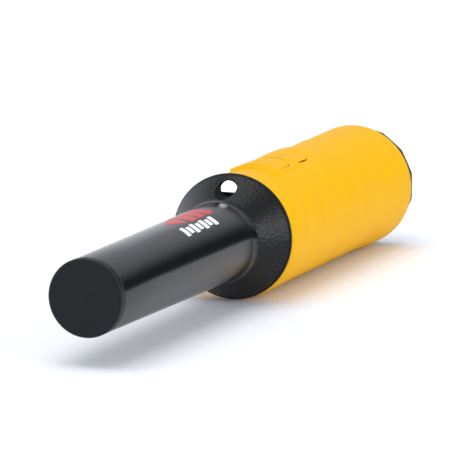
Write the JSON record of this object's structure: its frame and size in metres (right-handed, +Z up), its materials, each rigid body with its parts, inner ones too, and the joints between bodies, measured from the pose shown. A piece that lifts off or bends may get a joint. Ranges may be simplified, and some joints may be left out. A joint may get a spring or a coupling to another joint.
{
  "type": "pinpointer probe",
  "caption": "Handheld metal pinpointer: slim search tube with lamp on its shoulder, rubber-sleeved round handle with two keys, screw-on battery cap.",
  "frame": {"origin": "centre of the bounding box's bottom face: mid-length, under the axis, on the surface the probe lies on", "axes": "+X along the probe's axis from the search tip to the battery cap, +Z up through the keys, +Y to the left seen from the cap"},
  "size_m": [0.2518, 0.046, 0.0455],
  "materials": {
    "grip": "soft matte moulded rubber",
    "smooth_black": "satin moulded plastic",
    "textured_black": "spark-eroded moulded plastic",
    "inner_black": "plain moulded plastic",
    "clear": "clear polished lamp",
    "seal": "rubber seal",
    "board": "solder-masked circuit board",
    "chip": "moulded component",
    "steel": "plated steel",
    "brass": "spring brass",
    "copper": null,
    "ferrite": "sintered ferrite",
    "nylon": "natural nylon",
    "foam": "closed-cell foam",
    "battery_case": "plain blue wrapped metal case",
    "lead_red": "insulated wire",
    "lead_white": "insulated wire"
  },
  "bodies": {
    "root": {"balance_coil": "copper", "battery_block": "battery_case", "battery_tray": "inner_black", "board_screw_front": "steel", "board_screw_rear": "steel", "centring_ring": "nylon", "circuit_chassis": "inner_black", "coil_connector": "nylon", "coil_former": "nylon", "coil_lead_finish": "lead_white", "coil_lead_start": "lead_red", "contact_board": "board", "drive_inductor": "ferrite", "ferrite_rod": "ferrite", "filter_capacitor": "battery_case", "front_housing": "smooth_black", "grip_sleeve": "grip", "handle_shell": "inner_black", "housing_seal": "seal", "lamp_emitter": "clear", "lamp_lens": "clear", "main_board": "board", "minus_switch": "chip", "negative_contact": "brass", "negative_terminal": "steel", "plus_switch": "chip", "positive_contact": "brass", "positive_terminal": "steel", "processor_chip": "chip", "receive_coil": "copper", "shield_tube": "copper", "sounder": "chip", "tip_cap": "smooth_black", "tip_foam": "foam", "transmit_coil": "copper", "vibration_motor": "steel"},
    "plus_key": {"plus_key": "grip", "plus_plunger": "nylon"},
    "minus_key": {"minus_key": "grip", "minus_plunger": "nylon"},
    "motor_weight": {"eccentric_weight": "steel"},
    "cap_thread": {"cap_seal": "seal"},
    "battery_cap": {"end_cap": "textured_black", "pressure_plate": "nylon", "pressure_foam": "foam"}
  },
  "joints": [
    {"name": "plus_key_press", "type": "slide", "parent": "root", "child": "plus_key", "axis": [0, 0, -1], "range_m": [0, 0.0006], "stiffness_N_per_m": 2500, "springref_m": -0.0004},
    {"name": "minus_key_press", "type": "slide", "parent": "root", "child": "minus_key", "axis": [0, 0, -1], "range_m": [0, 0.0006], "stiffness_N_per_m": 2500, "springref_m": -0.0004},
    {"name": "cap_travel", "type": "slide", "parent": "root", "child": "cap_thread", "axis": [1, 0, 0], "range_m": [0, 0.009]},
    {"name": "cap_turn", "type": "hinge", "parent": "cap_thread", "child": "battery_cap", "pos_m": [0.1235, 0, 0.0225], "axis": [-1, 0, 0], "range_deg": [0, 1080]},
    {"name": "motor_spin", "type": "hinge", "parent": "root", "child": "motor_weight", "pos_m": [0.0565, 0, 0.0207], "axis": [1, 0, 0], "continuous": true}
  ],
  "couplings": [
    {"joint": "cap_travel", "follows": "cap_turn", "m_per_rad": 0.00047746}
  ]
}
